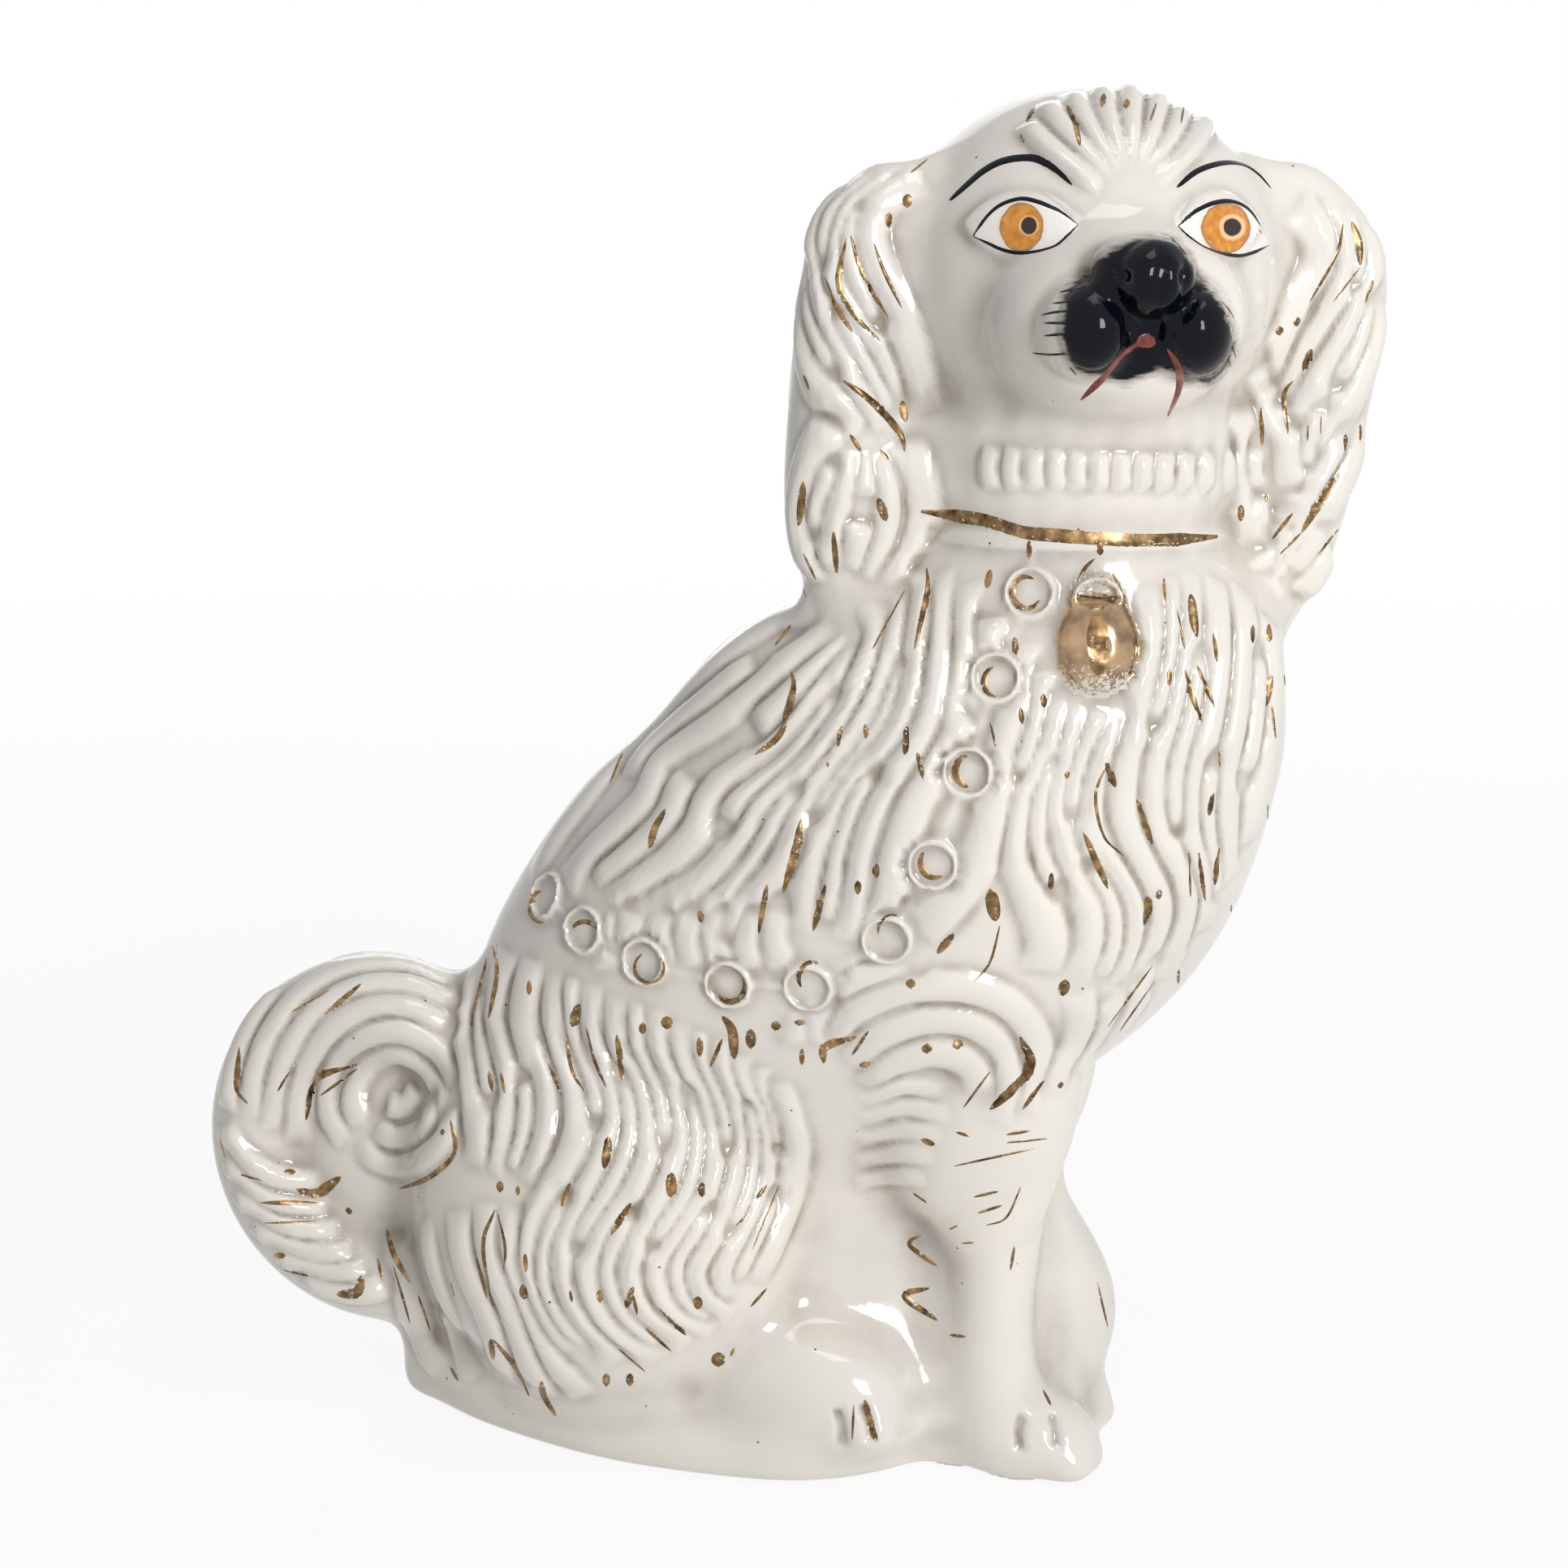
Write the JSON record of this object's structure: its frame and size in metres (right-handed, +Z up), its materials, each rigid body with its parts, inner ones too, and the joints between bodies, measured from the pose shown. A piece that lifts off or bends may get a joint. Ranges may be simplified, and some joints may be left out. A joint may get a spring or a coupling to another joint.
{
  "type": "spaniel mantel figure",
  "caption": "Seated spaniel mantel figure in white-glazed earthenware, hollow, with gilt fur strokes, a gilt collar with chain and padlock, and a black muzzle.",
  "frame": {"origin": "middle of the figure's bounding box, on the surface that it stands on", "axes": "+Z up, +X along the dog from its tail to its chest, -Y towards the viewer that the head turns to"},
  "size_m": [0.2706, 0.1104, 0.311],
  "materials": {
    "white_glaze": "clear lead glaze over a warm white earthenware body, glossy, lightly toned in the hollows",
    "black_enamel": "blue-black enamel, fired on the glaze, glossy",
    "eye_enamel": "orange and brown enamel over the white glaze, outlined in black",
    "gilding": "thin burnished gold on the glazed relief, rubbed with age"
  },
  "bodies": {
    "root": {"trunk_near": "white_glaze", "trunk_far": "white_glaze", "base_tray": "white_glaze", "foreleg_near": "white_glaze", "foreleg_far": "white_glaze", "hind_paw_near": "white_glaze", "hind_paw_far": "white_glaze", "tail": "white_glaze", "head_face": "white_glaze", "head_back": "white_glaze", "muzzle": "black_enamel", "eye_left": "eye_enamel", "eye_right": "eye_enamel", "ear_left": "white_glaze", "ear_right": "white_glaze", "neck_ruff": "white_glaze", "collar": "gilding", "chain_links": "gilding", "chain_bars": "gilding", "padlock_body": "gilding", "padlock_shackle": "gilding"}
  },
  "joints": []
}
